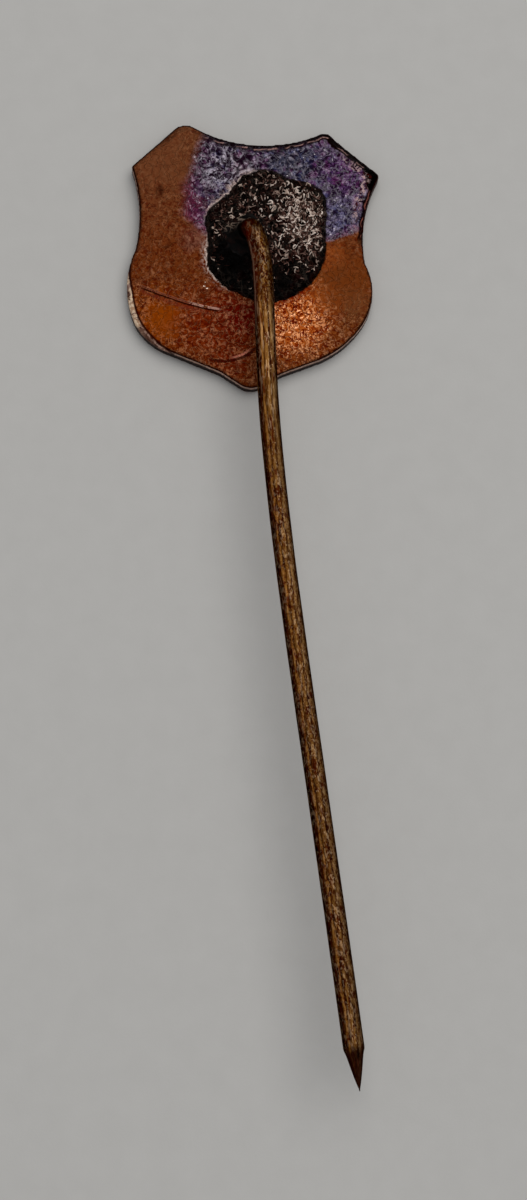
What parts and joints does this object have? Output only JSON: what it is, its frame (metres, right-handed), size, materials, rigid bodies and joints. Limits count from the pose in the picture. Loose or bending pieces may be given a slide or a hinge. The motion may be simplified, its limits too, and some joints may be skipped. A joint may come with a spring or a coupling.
{
  "type": "shield stick pin",
  "caption": "Shield-shaped enamelled copper badge with a long bent brass needle soldered to its back, lying on its front.",
  "frame": {"origin": "centre of the shield's front face, on the plane that the rim, cross and boss lie in", "axes": "+Z out of the copper back, -Y down the needle to its point, +X to the right as seen from behind"},
  "size_m": [0.0118, 0.0454, 0.0033],
  "materials": {
    "copper": "bare copper, heat-tinted and oxidised",
    "enamel_white": "glossy opaque enamel",
    "enamel_blue": "glossy opaque enamel",
    "solder": "sooty soft solder",
    "burnt_flux": "rough black burnt flux with pale residue",
    "brass": "tarnished drawn wire"
  },
  "bodies": {
    "root": {"shield_plate": "copper", "enamel_blue_top": "enamel_blue", "enamel_white_top": "enamel_white", "enamel_white_base": "enamel_white", "enamel_blue_base": "enamel_blue", "solder_joint": "solder", "flux_crust": "burnt_flux", "needle": "brass"}
  },
  "joints": []
}
